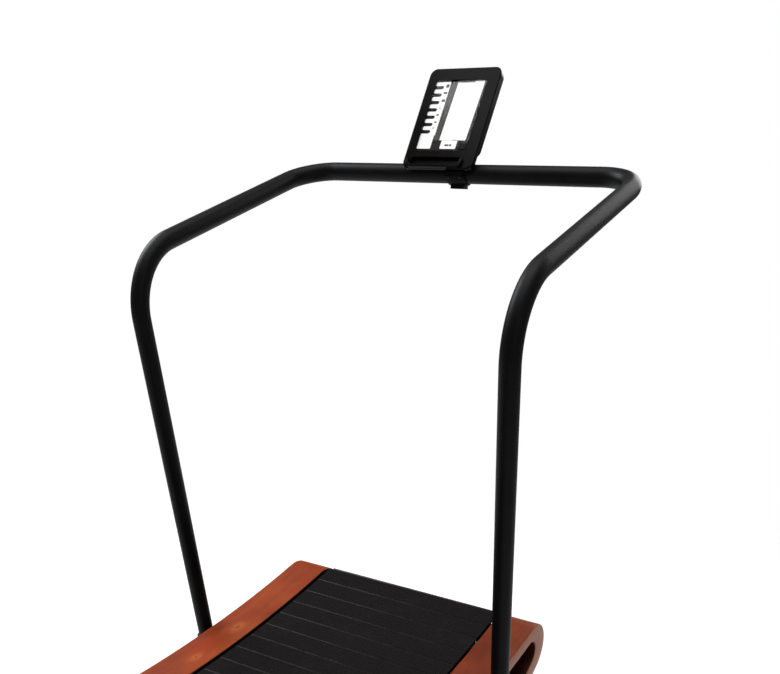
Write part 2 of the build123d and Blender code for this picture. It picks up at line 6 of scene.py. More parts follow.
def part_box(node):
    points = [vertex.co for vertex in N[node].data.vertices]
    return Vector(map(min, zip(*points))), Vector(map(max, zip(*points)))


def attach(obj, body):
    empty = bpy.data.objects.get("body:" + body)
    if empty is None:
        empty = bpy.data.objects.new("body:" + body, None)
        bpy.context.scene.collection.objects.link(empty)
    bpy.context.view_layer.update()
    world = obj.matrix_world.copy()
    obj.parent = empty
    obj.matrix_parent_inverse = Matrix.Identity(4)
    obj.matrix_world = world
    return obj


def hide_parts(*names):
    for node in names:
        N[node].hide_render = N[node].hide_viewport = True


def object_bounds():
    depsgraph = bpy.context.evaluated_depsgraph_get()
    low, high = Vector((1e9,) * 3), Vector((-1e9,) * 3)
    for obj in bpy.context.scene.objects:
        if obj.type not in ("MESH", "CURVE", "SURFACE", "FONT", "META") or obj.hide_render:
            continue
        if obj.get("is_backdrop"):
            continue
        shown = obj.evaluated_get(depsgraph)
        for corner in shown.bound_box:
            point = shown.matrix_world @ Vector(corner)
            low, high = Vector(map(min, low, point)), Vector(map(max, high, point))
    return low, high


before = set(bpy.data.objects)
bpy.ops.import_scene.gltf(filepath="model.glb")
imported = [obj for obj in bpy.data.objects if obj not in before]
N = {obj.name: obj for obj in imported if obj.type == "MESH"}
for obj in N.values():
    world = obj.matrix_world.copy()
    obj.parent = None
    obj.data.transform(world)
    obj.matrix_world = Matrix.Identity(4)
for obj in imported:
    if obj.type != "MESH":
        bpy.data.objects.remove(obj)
cad_lo, cad_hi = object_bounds()

# ------------------------------------------------------------------ frame
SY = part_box("handrail_tube")[1].y - 0.928       # model y minus design y
MM = 0.001
PITCH, R_PITCH, CENTRE_Z = 58.0, 3323.0, 3553.0
ALPHA = 26 * PITCH / (2 * R_PITCH)


def solve_bottom():
    lo, hi = 0.05, 0.9
    for _ in range(200):
        b = 0.5 * (lo + hi)
        rp = 3 * PITCH / (math.pi + ALPHA - b)
        rb = 27 * PITCH / (2 * b)
        if (rb - rp) * math.sin(b) > (R_PITCH + rp) * math.sin(ALPHA):
            lo = b
        else:
            hi = b
    return b, rp, rb


BETA, R_DRUM, R_BOT = solve_bottom()
DRUM_Y = (R_PITCH + R_DRUM) * math.sin(ALPHA)
DRUM_Z = CENTRE_Z - (R_PITCH + R_DRUM) * math.cos(ALPHA)
BOT_Z = DRUM_Z + (R_BOT - R_DRUM) * math.cos(BETA)


def W(x, y, z):
    """design millimetres to frame metres"""
    return Vector((x * MM, y * MM + SY, z * MM))


# ------------------------------------------------------------- materials
class NT:
    def __init__(self, name):
        m = bpy.data.materials.new(name)
        m.use_nodes = True
        self.m, self.t = m, m.node_tree
        self.t.nodes.clear()
        self.out = self.n("ShaderNodeOutputMaterial")
        self.p = self.n("ShaderNodeBsdfPrincipled")
        self.l(self.p.outputs[0], self.out.inputs[0])

    def n(self, kind, **kw):
        nd = self.t.nodes.new(kind)
        for k, v in kw.items():
            if k.startswith("i_"):
                nd.inputs[k[2:].replace("__", " ")].default_value = v
            else:
                setattr(nd, k, v)
        return nd

    def l(self, a, b):
        self.t.links.new(a, b)

    def coord(self, kind="Object", scale=(1, 1, 1), attr=None):
        if attr:
            a = self.n("ShaderNodeAttribute", attribute_name=attr)
            src = a.outputs["Vector"]
        else:
            src = self.n("ShaderNodeTexCoord").outputs[kind]
        mp = self.n("ShaderNodeMapping")
        mp.inputs["Scale"].default_value = scale
        self.l(src, mp.inputs["Vector"])
        return mp.outputs["Vector"]

    def noise(self, vec, scale, detail=4, rough=0.5, dist=0.0):
        nd = self.n("ShaderNodeTexNoise")
        nd.inputs["Scale"].default_value = scale
        nd.inputs["Detail"].default_value = detail
        nd.inputs["Roughness"].default_value = rough
        nd.inputs["Distortion"].default_value = dist
        self.l(vec, nd.inputs["Vector"])
        return nd.outputs["Fac"]

    def ramp(self, fac, stops):
        r = self.n("ShaderNodeValToRGB")
        e = r.color_ramp.elements
        while len(e) > 1:
            e.remove(e[-1])
        for i, (p, c) in enumerate(stops):
            c = c if isinstance(c, (tuple, list)) else (c, c, c)
            c = tuple(c) + (1.0,) if len(c) == 3 else c
            if i == 0:
                e[0].position, e[0].color = p, c
            else:
                k = e.new(p)
                k.color = c
        self.l(fac, r.inputs["Fac"])
        return r.outputs["Color"]

    def mix(self, fac, a, b, mode="MIX"):
        x = self.n("ShaderNodeMix", data_type="RGBA", blend_type=mode)
        for i, v in ((0, fac), (6, a), (7, b)):
            if hasattr(v, "is_output"):
                self.l(v, x.inputs[i])
            elif isinstance(v, (int, float)):
                x.inputs[i].default_value = v if i == 0 else (v, v, v, 1)
            else:
                x.inputs[i].default_value = tuple(v) + ((1.0,) if len(v) == 3 else ())
        return x.outputs[2]

    def math(self, op, a, b=None, clamp=False):
        x = self.n("ShaderNodeMath", operation=op, use_clamp=clamp)
        for i, v in enumerate((a, b)):
            if v is None:
                continue
            if hasattr(v, "is_output"):
                self.l(v, x.inputs[i])
            else:
                x.inputs[i].default_value = v
        return x.outputs[0]

    def bump(self, height, strength=0.2, dist=0.001, normal=None):
        b = self.n("ShaderNodeBump")
        b.inputs["Strength"].default_value = strength
        b.inputs["Distance"].default_value = dist
        self.l(height, b.inputs["Height"])
        if normal is not None:
            self.l(normal, b.inputs["Normal"])
        return b.outputs["Normal"]

    def set(self, color=None, rough=None, metal=None, normal=None, spec=None, **kw):
        for k, v in (("Base Color", color), ("Roughness", rough), ("Metallic", metal), ("Normal", normal), ("Specular IOR Level", spec)):
            if v is None:
                continue
            if hasattr(v, "is_output"):
                self.l(v, self.p.inputs[k])
            else:
                self.p.inputs[k].default_value = (tuple(v) + (1.0,)) if isinstance(v, (tuple, list)) and len(v) == 3 else v
        for k, v in kw.items():
            self.p.inputs[k.replace("_", " ")].default_value = v
        return self.m


def edge_wear(t, radius=0.002):
    """1 on convex edges, from the difference of bevelled and plain normals."""
    bv = t.n("ShaderNodeBevel", samples=4)
    bv.inputs["Radius"].default_value = radius
    g = t.n("ShaderNodeNewGeometry")
    d = t.n("ShaderNodeVectorMath", operation="DOT_PRODUCT")
    t.l(bv.outputs[0], d.inputs[0])
    t.l(g.outputs["Normal"], d.inputs[1])
    inv = t.math("SUBTRACT", 1.0, d.outputs["Value"], clamp=True)
    return t.math("MULTIPLY", inv, 6.0, clamp=True)


def mat_wood(name, top_light_tone=(1.0, 1.0, 1.0)):
    t = NT(name)
    g = t.n("ShaderNodeAttribute", attribute_name="grain").outputs["Vector"]
    # knots bend the grain: each is (s, x) in metres on the band
    sep = t.n("ShaderNodeSeparateXYZ")
    t.l(g, sep.inputs[0])
    knot = None
    bend = None
    bendmask = None
    for ks, kx, kr in KNOTS:
        dx = t.math("MULTIPLY", t.math("SUBTRACT", sep.outputs[0], ks), 0.55)
        dy = t.math("SUBTRACT", sep.outputs[1], kx)
        d2 = t.math("ADD", t.math("MULTIPLY", dx, dx), t.math("MULTIPLY", dy, dy))
        e = t.math("EXPONENT", t.math("MULTIPLY", d2, -1.0 / (0.32 * kr * kr)))
        hm = t.math("EXPONENT", t.math("MULTIPLY", d2, -1.0 / (2.6 * kr * kr)))
        bendmask = hm if bendmask is None else t.math("MAXIMUM", bendmask, hm)
        b = t.math("MULTIPLY", t.math("MULTIPLY", dy, 1.6), t.math("EXPONENT", t.math("MULTIPLY", d2, -1.0 / (9 * kr * kr))))
        knot = e if knot is None else t.math("MAXIMUM", knot, e)
        bend = b if bend is None else t.math("ADD", bend, b)
    comb = t.n("ShaderNodeCombineXYZ")
    t.l(sep.outputs[0], comb.inputs[0])
    t.l(t.math("SUBTRACT", sep.outputs[1], bend), comb.inputs[1])
    t.l(sep.outputs[2], comb.inputs[2])

    def mapped(sc):
        mp = t.n("ShaderNodeMapping")
        mp.inputs["Scale"].default_value = sc
        t.l(comb.outputs[0], mp.inputs["Vector"])
        return mp.outputs["Vector"]

    broad = t.noise(mapped((2.2, 16, 16)), 1.0, 5, 0.6, 0.8)
    patch = t.noise(mapped((9, 14, 14)), 1.0, 3, 0.55, 0.5)
    fine = t.noise(mapped((7, 210, 210)), 1.0, 6, 0.65, 0.25)
    pores = t.noise(mapped((26, 900, 900)), 1.0, 2, 0.5, 0.0)
    base = t.ramp(broad, [(0.25, (0.165, 0.0225, 0.0035)), (0.43, (0.215, 0.0310, 0.0046)), (0.56, (0.252, 0.040, 0.0062)), (0.75, (0.32, 0.062, 0.011))])
    base = t.mix(0.30, base, t.ramp(patch, [(0.3, (0.118, 0.0165, 0.0030)), (0.5, (0.25, 0.040, 0.0065)), (0.72, (0.37, 0.078, 0.015))]))
    base = t.mix(0.32, base, t.ramp(fine, [(0.3, (0.45, 0.40, 0.38)), (0.5, (0.92, 0.90, 0.88)), (0.7, (1.12, 1.14, 1.16))]), "MULTIPLY")
    base = t.mix(t.math("MULTIPLY", t.ramp(pores, [(0.60, 0.0), (0.72, 1.0)]), 0.35), base, (0.06, 0.014, 0.006))
    # a redder stain beside the lower knot
    sx = t.math("MULTIPLY", t.math("SUBTRACT", sep.outputs[0], 0.335), 0.5)
    sy = t.math("SUBTRACT", sep.outputs[1], -0.312)
    sd = t.math("ADD", t.math("MULTIPLY", sx, sx), t.math("MULTIPLY", sy, sy))
    stain = t.math("EXPONENT", t.math("MULTIPLY", sd, -1.0 / (0.020 * 0.020)))
    base = t.mix(t.math("MULTIPLY", stain, 0.8), base, (0.27, 0.026, 0.0020))
    # a knot is a small dark eye in a paler, more orange halo
    halo = t.math("MULTIPLY", bendmask, 0.75)
    base = t.mix(halo, base, (0.46, 0.125, 0.030))
    base = t.mix(t.math("MULTIPLY", knot, 0.85), base, (0.11, 0.022, 0.006))
    kind = t.n("ShaderNodeAttribute", attribute_name="face_kind").outputs["Fac"]
    inner = t.math("SUBTRACT", kind, 1.0, clamp=True)
    # the band's outer side face is coloured paler than its top
    side = t.math("COMPARE", t.n("ShaderNodeAttribute", attribute_name="face_kind").outputs["Fac"], 1.0)
    side.node.inputs[2].default_value = 0.1
    pale = t.mix(t.ramp(fine, [(0.3, 0.35), (0.7, 0.65)]), (0.235, 0.078, 0.032), (0.32, 0.122, 0.058))
    base = t.mix(t.math("MULTIPLY", side, 0.75), base, pale)
    base = t.mix(t.math("MULTIPLY", inner, 0.86), base, (0.020, 0.0035, 0.0015))
    # painted shade: the side face towards the belt is near black, for the gap beside the belt
    base = t.mix(t.math("GREATER_THAN", kind, 2.5), base, (0.0030, 0.0022, 0.0020))
    # painted light and shade: top faces are scaled by each loop's light tone, the right loop's darker as painted shade;
    # side faces take a fixed factor
    shade = t.mix(side, top_light_tone, (1.05, 1.08, 1.05))
    base = t.mix(1.0, base, shade, "MULTIPLY")
    h = t.math("ADD", t.math("MULTIPLY", fine, 0.5), t.math("MULTIPLY", pores, 0.3))
    rough = t.math("ADD", t.math("MULTIPLY", patch, 0.22), 0.34)
    nrm = t.bump(h, 0.28, 0.0007)
    return t.set(base, rough, 0.0, nrm, 0.14, Coat_Weight=0.0, Coat_Roughness=0.35)


def mat_paint(name, col=(0.0075, 0.0075, 0.0085), rough=0.42, scale=900, spec=0.4, wear=0.0):
    t = NT(name)
    v = t.coord()
    peel = t.noise(v, scale, 3, 0.55)
    big = t.noise(v, 9, 4, 0.6)
    c = t.ramp(big, [(0.3, tuple(x * 0.75 for x in col)), (0.7, tuple(x * 1.35 for x in col))])
    r = t.math("ADD", t.math("MULTIPLY", big, 0.14), rough - 0.07)
    if wear:
        w = edge_wear(t)
        c = t.mix(t.math("MULTIPLY", w, wear), c, (0.06, 0.06, 0.062))
    return t.set(c, r, 0.0, t.bump(peel, 0.05, 0.0003), spec)


def mat_rubber(name, col=(0.0065, 0.0055, 0.0058), rough=0.78, scale=700, wear=0.5, spec=0.12):
    t = NT(name)
    v = t.coord()
    gr = t.noise(v, scale, 4, 0.7)
    dust = t.noise(v, 14, 5, 0.65, 0.6)
    c = t.ramp(dust, [(0.3, tuple(x * 0.7 for x in col)), (0.55, col), (0.8, tuple(x * 1.9 for x in col))])
    w = edge_wear(t, 0.0012)
    c = t.mix(t.math("MULTIPLY", w, wear), c, (0.06, 0.052, 0.052))
    r = t.math("ADD", t.math("MULTIPLY", dust, 0.2), rough - 0.1)
    return t.set(c, r, 0.0, t.bump(gr, 0.12, 0.0003), spec)


def mat_metal(name, col, rough=0.3, stretch=(1, 1, 1), scale=600, spec=0.5):
    t = NT(name)
    v = t.coord(scale=stretch)
    br = t.noise(v, scale, 3, 0.6)
    big = t.noise(t.coord(), 12, 4, 0.6)
    c = t.mix(0.35, col, t.ramp(big, [(0.3, tuple(x * 0.6 for x in col)), (0.7, tuple(min(1, x * 1.15) for x in col))]))
    r = t.math("ADD", t.math("MULTIPLY", br, 0.22), rough - 0.08)
    return t.set(c, r, 1.0, t.bump(br, 0.12, 0.0003), spec)


def mat_plastic(name, col=(0.020, 0.0185, 0.0175), rough=0.5, spec=0.5, wear=0.25):
    t = NT(name)
    v = t.coord()
    gr = t.noise(v, 1500, 2, 0.5)
    big = t.noise(v, 22, 4, 0.6)
    c = t.ramp(big, [(0.3, tuple(x * 0.8 for x in col)), (0.7, tuple(x * 1.25 for x in col))])
    w = edge_wear(t, 0.0015)
    c = t.mix(t.math("MULTIPLY", w, wear), c, (0.05, 0.045, 0.042))
    r = t.math("ADD", t.math("MULTIPLY", big, 0.12), rough - 0.06)
    return t.set(c, r, 0.0, t.bump(gr, 0.06, 0.0002), spec)


def mat_lcd(name, col, emit=0.0):
    t = NT(name)
    v = t.coord()
    dots = t.noise(v, 2600, 1, 0.5)
    big = t.noise(v, 30, 2, 0.5)
    c = t.mix(0.06, col, t.ramp(dots, [(0.3, tuple(x * 0.7 for x in col)), (0.7, col)]))
    c = t.mix(0.05, c, t.ramp(big, [(0.3, tuple(x * 0.8 for x in col)), (0.7, col)]))
    t.set(c, 0.45, 0.0, t.bump(dots, 0.05, 0.0001), 0.06)
    if emit:
        t.l(c, t.p.inputs["Emission Color"])
        t.p.inputs["Emission Strength"].default_value = emit
    return t.m


def mat_lip_painted_highlight():
    """slat edges: a painted highlight, pale on the left of the belt and fading to black on the right"""
    t = NT("slat_edge")
    v = t.coord()
    sp = t.n("ShaderNodeSeparateXYZ")
    t.l(v, sp.inputs[0])
    n = t.noise(v, 22, 3, 0.6)
    x = t.math("ADD", t.math("ADD", t.math("MULTIPLY", sp.outputs[0], 1.6), 0.5), t.math("MULTIPLY", t.math("SUBTRACT", n, 0.5), 0.9))
    # painted highlight: the edge colour is pale on the left of the belt and near black on the right
    c = t.ramp(x, [(0.15, (0.058, 0.054, 0.056)), (0.45, (0.027, 0.024, 0.025)), (0.75, (0.008, 0.007, 0.007))])
    return t.set(c, 0.5, 0.4, t.bump(t.noise(v, 900, 2, 0.5), 0.1, 0.0002), 0.2)


def mat_window():
    t = NT("display_window")
    t.t.nodes.remove(t.p)
    tr = t.n("ShaderNodeBsdfTransparent")
    gl = t.n("ShaderNodeBsdfGlossy")
    sm = t.noise(t.coord(), 40, 3, 0.6)
    t.l(t.ramp(sm, [(0.3, 0.04), (0.7, 0.10)]), gl.inputs["Roughness"])
    fr = t.n("ShaderNodeFresnel")
    fr.inputs["IOR"].default_value = 1.35
    mx = t.n("ShaderNodeMixShader")
    # anti-reflection coated, so only a little of the room shows in it
    t.l(t.math("MULTIPLY", fr.outputs[0], 0.12), mx.inputs[0])
    t.l(tr.outputs[0], mx.inputs[1])
    t.l(gl.outputs[0], mx.inputs[2])
    t.l(mx.outputs[0], t.out.inputs[0])
    return t.m


def mat_board():
    t = NT("circuit_board")
    v = t.coord()
    ck = t.noise(t.coord(scale=(1, 1, 1)), 260, 2, 0.5)
    c = t.ramp(ck, [(0.45, (0.01, 0.07, 0.03)), (0.52, (0.02, 0.12, 0.05)), (0.6, (0.25, 0.2, 0.06))])
    return t.set(c, 0.4, 0.0, t.bump(ck, 0.2, 0.0003), 0.5)


def band_len():
    return 2 * R_WOOD * math.asin(DRUM_Y / (R_WOOD + OUT_NOSE)) * MM


R_WOOD = 3308.0
OUT_NOSE = R_PITCH + R_DRUM - R_WOOD
# grain coordinate: s = 0 at the deck's lowest point, forward positive, metres
KNOTS = [(0.284, -0.296, 0.0060), (0.439, -0.297, 0.0078), (0.06, -0.333, 0.008), (-0.14, -0.300, 0.006),
         (-0.42, -0.33, 0.009), (-0.62, -0.29, 0.006), (0.12, 0.335, 0.009),
         (-0.20, 0.29, 0.007), (-0.55, 0.32, 0.008), (0.36, 0.325, 0.007)]

# painted shade: the right loop's top is painted darker than the left's, where it gets less light
M_WOOD = {-1: mat_wood("oiled_wood_left_lit", (0.90, 0.81, 0.66)), 1: mat_wood("oiled_wood_right_painted_shade", (0.60, 0.56, 0.54))}
M_TUBE = mat_paint("satin_black_tube", (0.0036, 0.0036, 0.0041), 0.44, 1100, 0.075)
M_FRAME = mat_paint("black_frame_paint", (0.0032, 0.0032, 0.0036), 0.55, 800, 0.12, 0.08)
M_TREAD = mat_rubber("tread_rubber", (0.0052, 0.0038, 0.0040), 0.78, 700, 0.3, 0.06)
M_BELT = mat_rubber("belt_rubber", (0.010, 0.010, 0.010), 0.65, 500, 0.2)
M_POLY = mat_rubber("grey_roller", (0.06, 0.06, 0.065), 0.45, 500, 0.2, 0.5)
M_FOOT = mat_rubber("foot_rubber", (0.014, 0.014, 0.014), 0.6, 400, 0.3)
M_ALU = mat_metal("aluminium_slat", (0.34, 0.34, 0.35), 0.38, (0.05, 1, 1), 900)
M_LIP_HIGHLIGHT = mat_lip_painted_highlight()
M_BAR = mat_metal("black_anodised_bar", (0.014, 0.014, 0.015), 0.45, (0.05, 1, 1), 900, 0.2)
M_STEEL = mat_metal("ground_steel", (0.46, 0.46, 0.47), 0.24, (1, 1, 1), 900)
M_ZINC = mat_metal("zinc_plate", (0.50, 0.51, 0.53), 0.32, (1, 1, 1), 300)
M_SHELL = mat_plastic("console_plastic", (0.0030, 0.0025, 0.0022), 0.17, 0.04, 0.03)
M_CLAMP = mat_plastic("clamp_plastic", (0.0030, 0.0028, 0.0029), 0.38, 0.05, 0.03)
M_SCREW = mat_metal("black_screw", (0.028, 0.028, 0.030), 0.40, (1, 1, 1), 500, 0.25)
M_BTN = mat_plastic("button_plastic", (0.0040, 0.0038, 0.0038), 0.22, 0.06, 0.05)
M_WIN = mat_window()
M_BOARD = mat_board()
M_WHITE = mat_lcd("lcd_white", (0.56, 0.56, 0.555), 0.75)
M_DARK = mat_lcd("lcd_dark", (0.0040, 0.0034, 0.0032))
M_GREY = mat_lcd("lcd_grey", (0.060, 0.056, 0.053))
M_MARK = mat_lcd("lcd_mark", (0.060, 0.054, 0.052))
M_PALE = mat_lcd("lcd_pale", (0.19, 0.185, 0.18))


def paint(node, m):
    o = N[node]
    o.data.materials.clear()
    o.data.materials.append(m)


for n in N:
    if n.startswith("slat_bars"):
        m = M_BAR
    elif n in ("frame_bolts", "housing_bolts"):
        m = M_SCREW
    elif n.endswith("pulleys"):
        m = M_ALU
    elif n.startswith("drive_belts"):
        m = M_BELT
    elif n.startswith("slat_treads"):
        m = M_TREAD
    elif n.startswith("track_roller") or n.startswith("transport_wheel"):
        m = M_POLY
    elif n.startswith("levelling_foot"):
        m = M_FOOT
    elif n in ("frame_bolts", "bracket_bolts", "housing_bolts", "foot_locknuts"):
        m = M_ZINC
    elif n == "clamp_screws":
        m = M_SCREW
    elif n in ("shaft_bearings", "roller_axles", "front_shaft", "rear_shaft", "console_hinge_pin"):
        m = M_STEEL
    elif n in ("console_front_shell", "console_back_cover", "speed_sensor"):
        m = M_SHELL
    elif n in ("console_clamp_saddle", "console_clamp_cap"):
        m = M_CLAMP
    elif n.startswith("console_button"):
        m = M_BTN
    elif n == "lcd_window":
        m = M_WIN
    elif n == "lcd_panel":
        m = M_DARK
    elif n == "control_board":
        m = M_BOARD
    elif n.endswith("wood_loop"):
        m = M_WOOD[-1 if n.startswith("left") else 1]
    elif n == "handrail_tube":
        m = M_TUBE
    else:
        m = M_FRAME
    paint(n, m)


# ------------------------------------------------------------ mesh helpers
def make(name, verts, faces, mat, body, replaces=(), smooth=True, angle=35):
    me = bpy.data.meshes.new(name)
    me.from_pydata([tuple(v) for v in verts], [], faces)
    me.validate()
    me.update()
    bm = bmesh.new()
    bm.from_mesh(me)
    bmesh.ops.recalc_face_normals(bm, faces=bm.faces)
    bm.to_mesh(me)
    bm.free()
    o = bpy.data.objects.new(name, me)
    bpy.context.scene.collection.objects.link(o)
    me.materials.append(mat)
    if smooth:
        me.shade_smooth()
        me.set_sharp_from_angle(angle=math.radians(angle))
    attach(o, body)
    if replaces:
        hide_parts(*replaces)
    return o


def bevel(o, width=0.001, seg=2, angle=30):
    b = o.modifiers.new("edges", "BEVEL")
    b.width, b.segments, b.limit_method, b.angle_limit = width, seg, "ANGLE", math.radians(angle)
    b.harden_normals = True
    return o


# ------------------------------------------------------------- wood loops
def half_outline(yc, zc, r_top, r_nose, z_base, r_fil, slope=35.0):
    """front half, from the deck's lowest point round the nose to the base's middle; mm"""
    a = math.asin(yc / (r_top + r_nose))
    t = math.radians(slope)
    pts = []
    for i in range(41):
        q = a * i / 40
        pts.append((r_top * math.sin(q), CENTRE_Z - r_top * math.cos(q)))
    th0, th1 = math.pi / 2 + a, -math.pi / 2 + t
    for i in range(1, 33):
        q = th0 + (th1 - th0) * i / 32
        pts.append((yc + r_nose * math.cos(q), zc + r_nose * math.sin(q)))
    p_end = pts[-1]
    run = (p_end[1] - z_base) / math.sin(t)
    yi = p_end[0] - run * math.cos(t)
    k = r_fil * math.tan(t / 2)
    f0 = (yi + k * math.cos(t), z_base + k * math.sin(t))
    for i in range(1, 9):
        q = i / 8
        pts.append((p_end[0] + (f0[0] - p_end[0]) * q, p_end[1] + (f0[1] - p_end[1]) * q))
    cy, cz = yi - k, z_base + r_fil
    for i in range(1, 13):
        q = t * (1 - i / 12)
        pts.append((cy + r_fil * math.sin(q), cz - r_fil * math.cos(q)))
    for i in range(1, 9):
        pts.append((cy * (1 - i / 8), z_base))
    return pts


def full_outline(*a):
    f = half_outline(*a)
    back = [(-y, z) for y, z in f[::-1][1:-1]]
    return f + back          # closed: starts at the deck's lowest point, goes forward


OPEN_Y = 741.0
OPEN_Z = CENTRE_Z - math.sqrt((3342.0 + 34.0) ** 2 - OPEN_Y**2)


def wood_loop(side, s):
    O = full_outline(DRUM_Y, DRUM_Z, R_WOOD, OUT_NOSE, 25.0, 250.0)
    I = full_outline(OPEN_Y, OPEN_Z, 3342.0, 34.0, 61.0, 200.0)
    n = len(O)
    x_in, x_out, r = 257.5, 358.0, 3.6
    # profile: (from outer or inner edge, depth offset, x, kind) kind 1 = side face
    prof = []
    seg = 4
    def corner(edge, cx, sx, a0):
        for i in range(seg + 1):
            q = math.radians(90 * i / seg)
            # outer edge first: from the top face to the side face
            if a0 == 0:
                prof.append((edge, r - r * math.cos(q), cx + sx * r * math.sin(q)))
            else:
                prof.append((edge, r - r * math.sin(q), cx + sx * r * math.cos(q)))
    for x in np.linspace(x_in + r, x_out - r, 7)[:-1]:
        prof.append((0, 0.0, float(x)))
    corner(0, x_out - r, 1, 0)
    corner(1, x_out - r, 1, 1)
    for x in np.linspace(x_out - r, x_in + r, 4)[1:-1]:
        prof.append((1, 0.0, float(x)))
    corner(1, x_in + r, -1, 0)
    corner(0, x_in + r, -1, 1)
    prof = prof[:-1]
    m = len(prof)
    verts, grain = [], []
    sacc = [0.0]
    for i in range(1, n):
        sacc.append(sacc[-1] + math.dist(O[i - 1], O[i]))
    total = sacc[-1] + math.dist(O[-1], O[0])
    for i in range(n):
        o, q = O[i], I[i]
        D = math.dist(o, q)
        d = ((q[0] - o[0]) / D, (q[1] - o[1]) / D)
        for edge, off, x in prof:
            if edge == 0:
                p = (o[0] + d[0] * off, o[1] + d[1] * off)
                dep = off
            else:
                p = (q[0] - d[0] * off, q[1] - d[1] * off)
                dep = D - off
            verts.append(W(s * x, p[0], p[1]))
            grain.append((sacc[i] * MM, s * x * MM, dep * MM))
    faces = []
    for i in range(n):
        j = (i + 1) % n
        for k in range(m):
            l = (k + 1) % m
            faces.append((i * m + k, i * m + l, j * m + l, j * m + k))
    me = bpy.data.meshes.new(side + "_wood_band")
    me.from_pydata([tuple(v) for v in verts], [], faces)
    me.update()
    me.attributes.new("grain", "FLOAT_VECTOR", "CORNER")
    me.attributes.new("face_kind", "FLOAT", "CORNER")
    gv = np.zeros((len(me.loops), 3), np.float32)
    fv = np.zeros(len(me.loops), np.float32)
    for p in me.polygons:
        i0 = min(v // m for v in p.vertices)
        wrap = max(v // m for v in p.vertices) - i0 > 1
        nx = abs(p.normal.x)
        inner_face = all(prof[v % m][0] == 1 and prof[v % m][1] < 1.5 for v in p.vertices)
        for li in p.loop_indices:
            v = me.loops[li].vertex_index
            g = list(grain[v])
            if wrap and v // m == 0:
                g[0] = total * MM
            # the rear half of the deck counts backwards from the lowest point
            if g[0] > total * MM * 0.5:
                g[0] -= total * MM
            if wrap and v // m == 0:
                g[0] = 0.0
            gv[li] = g
            if nx > 0.7:
                # painted shade: the side towards the belt is coloured near black, for the dark gap beside the belt
                fv[li] = 1.0 if abs(p.center.x) > (x_in + x_out) / 2 * MM else 3.0
            else:
                fv[li] = 2.0 if inner_face else 0.0
    # the two faces that meet at the base's middle keep a continuous coordinate
    half = total * MM * 0.5
    for p in me.polygons:
        ss = [gv[li][0] for li in p.loop_indices]
        if max(ss) - min(ss) > half:
            for li in p.loop_indices:
                if gv[li][0] < 0:
                    gv[li][0] += total * MM
    me.attributes["grain"].data.foreach_set("vector", gv.ravel())
    me.attributes["face_kind"].data.foreach_set("value", fv)
    o = bpy.data.objects.new(side + "_wood_band", me)
    bpy.context.scene.collection.objects.link(o)
    me.materials.append(M_WOOD[s])
    bm = bmesh.new()
    bm.from_mesh(me)
    bmesh.ops.recalc_face_normals(bm, faces=bm.faces)
    bm.to_mesh(me)
    bm.free()
    me.shade_smooth()
    me.set_sharp_from_angle(angle=math.radians(40))
    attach(o, "frame")
    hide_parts(side + "_wood_loop")
    return o


wood_loop("left", -1)
wood_loop("right", 1)


# --------------------------------------------------------------- handrail
LEANR = math.radians(9.28)
POST_X, BEND_Y, BEND_Z, BAR_Y, BAR_Z = 412.0, 303.0, 1105.0, 909.0, 1284.0


def post(z, s=1):
    return Vector((s * POST_X, BEND_Y + (BEND_Z - z) * math.tan(LEANR), z))


def rail_points():
    pts = [post(32, -1), Vector((-POST_X, BEND_Y, BEND_Z)), Vector((-POST_X, BAR_Y, BAR_Z)),
           Vector((POST_X, BAR_Y, BAR_Z)), Vector((POST_X, BEND_Y, BEND_Z)), post(32, 1)]
    rad = [0, 135.0, 88.0, 88.0, 135.0, 0]
    out = [(pts[0], (pts[1] - pts[0]).normalized())]
    for i in range(1, 5):
        p, a, b = pts[i], (pts[i - 1] - pts[i]).normalized(), (pts[i + 1] - pts[i]).normalized()
        half = math.acos(max(-1, min(1, a.dot(b)))) / 2
        tl = rad[i] / math.tan(half)
        q0 = p + a * tl
        m = (a + b).normalized()
        c = p + m * (rad[i] / math.sin(half))
        # straight run in steps, then the bend
        last = out[-1][0]
        for k in range(1, 9):
            out.append((last.lerp(q0, k / 8), -a))
        sweep_ang = math.pi - 2 * half
        e1, e2 = (q0 - c).normalized(), -a
        nseg = 28
        for k in range(1, nseg + 1):
            q = sweep_ang * k / nseg
            out.append((c + (e1 * math.cos(q) + e2 * math.sin(q)) * rad[i], (-e1 * math.sin(q) + e2 * math.cos(q)).normalized()))
    last = out[-1][0]
    for k in range(1, 9):
        out.append((last.lerp(pts[5], k / 8), (pts[5] - last).normalized()))
    return out


def tube(name, stations, r, mat, body, replaces=(), seg=56):
    verts, faces = [], []
    nrm = Vector((1, 0, 0))
    for p, t in stations:
        nrm = (nrm - t * nrm.dot(t))
        if nrm.length < 1e-5:
            nrm = t.orthogonal()
        nrm.normalize()
        bn = t.cross(nrm)
        for k in range(seg):
            q = 2 * math.pi * k / seg
            v = p + (nrm * math.cos(q) + bn * math.sin(q)) * r
            verts.append(W(*v))
    n = len(stations)
    for i in range(n - 1):
        for k in range(seg):
            l = (k + 1) % seg
            faces.append((i * seg + k, i * seg + l, (i + 1) * seg + l, (i + 1) * seg + k))
    faces.append(tuple(range(seg)))
    faces.append(tuple((n - 1) * seg + k for k in range(seg)))
    return make(name, verts, faces, mat, body, replaces)


tube("handrail", rail_points(), 19.0, M_TUBE, "frame", ("handrail_tube",))


